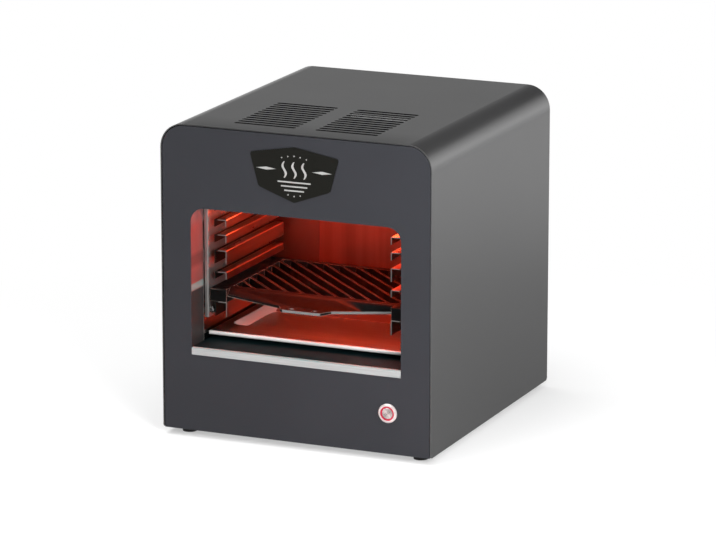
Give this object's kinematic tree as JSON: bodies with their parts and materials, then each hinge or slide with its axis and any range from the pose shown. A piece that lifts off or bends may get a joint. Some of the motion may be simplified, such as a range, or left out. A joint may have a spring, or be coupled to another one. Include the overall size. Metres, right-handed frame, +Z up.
{
  "type": "electric top-heat grill",
  "caption": "Box-shaped electric top-heat grill with open front window, side racks, sliding grate, drip pan and illuminated push button.",
  "frame": {"origin": "on the surface the grill stands on, under the middle of the case", "axes": "+Z up, the window faces -Y, +X towards the push button"},
  "size_m": [0.33, 0.365, 0.363],
  "materials": {
    "painted_metal": "grey-anthracite powder coat, satin",
    "front_paint": "grey-anthracite powder coat, satin",
    "back_paint": "grey-anthracite powder coat, satin",
    "base_steel": "zinc-plated sheet",
    "rubber_black": "matt",
    "screw_steel": "zinc plated",
    "badge": null,
    "trim_steel": "brushed stainless",
    "polished_steel": "polished stainless liner",
    "rack_steel": "stainless, satin",
    "nut_steel": "polished",
    "cast_iron": "black enamel",
    "pan_steel": "stainless, drawn",
    "ribbon_alloy": "resistance alloy, glowing in use",
    "ceramic": "ceramic fibre board",
    "mat": "mineral fibre mat",
    "aluminised_steel": "aluminised sheet",
    "brass": "satin",
    "porcelain": "glazed ceramic",
    "circuit_board": "solder-resist green",
    "black_plastic": "moulded",
    "relay_plastic": "moulded",
    "core_metal": "laminations and coil",
    "button_metal": "bead-blasted stainless",
    "light_ring": "translucent, lit red",
    "cap_metal": "spun stainless"
  },
  "bodies": {
    "case": {"outer_cover": "painted_metal", "front_panel": "front_paint", "back_panel": "back_paint", "base_plate": "base_steel", "rubber_feet": "rubber_black", "badge_plate": "badge", "sill_trim": "trim_steel", "cavity_floor": "polished_steel", "cavity_wall_left": "polished_steel", "cavity_wall_right": "polished_steel", "cavity_back": "polished_steel", "cavity_ceiling": "polished_steel", "rack_plate_left": "rack_steel", "rack_plate_right": "rack_steel", "rack_runners_left": "rack_steel", "rack_runners_right": "rack_steel", "rack_spacers": "rack_steel", "rack_cap_nuts": "nut_steel", "heating_ribbon": "ribbon_alloy", "ceramic_board": "ceramic", "insulation_mat": "mat", "heater_hood": "aluminised_steel", "terminal_studs": "brass", "terminal_bushes": "porcelain", "thermal_cutout": "black_plastic", "heat_shield": "aluminised_steel", "cavity_supports": "aluminised_steel", "rear_bulkhead": "aluminised_steel", "control_board": "circuit_board", "board_standoffs": "brass", "power_relay": "relay_plastic", "board_transformer": "core_metal", "terminal_block": "porcelain", "button_bezel": "button_metal", "button_ring": "light_ring", "button_module": "black_plastic", "button_nut": "screw_steel", "button_blades": "brass", "cord_inlet": "black_plastic", "inlet_nut": "black_plastic"},
    "grate": {"grill_grate": "cast_iron"},
    "drip_pan": {"drip_pan": "pan_steel"},
    "button_cap": {"button_cap": "cap_metal"}
  },
  "joints": [
    {"name": "grate_slide", "type": "slide", "parent": "case", "child": "grate", "axis": [0, -1, 0], "range_m": [0, 0.14]},
    {"name": "pan_slide", "type": "slide", "parent": "case", "child": "drip_pan", "axis": [0, -1, 0], "range_m": [0, 0.14]},
    {"name": "button_press", "type": "slide", "parent": "case", "child": "button_cap", "axis": [0, 1, 0], "range_m": [0, 0.002], "stiffness_N_per_m": 800}
  ]
}
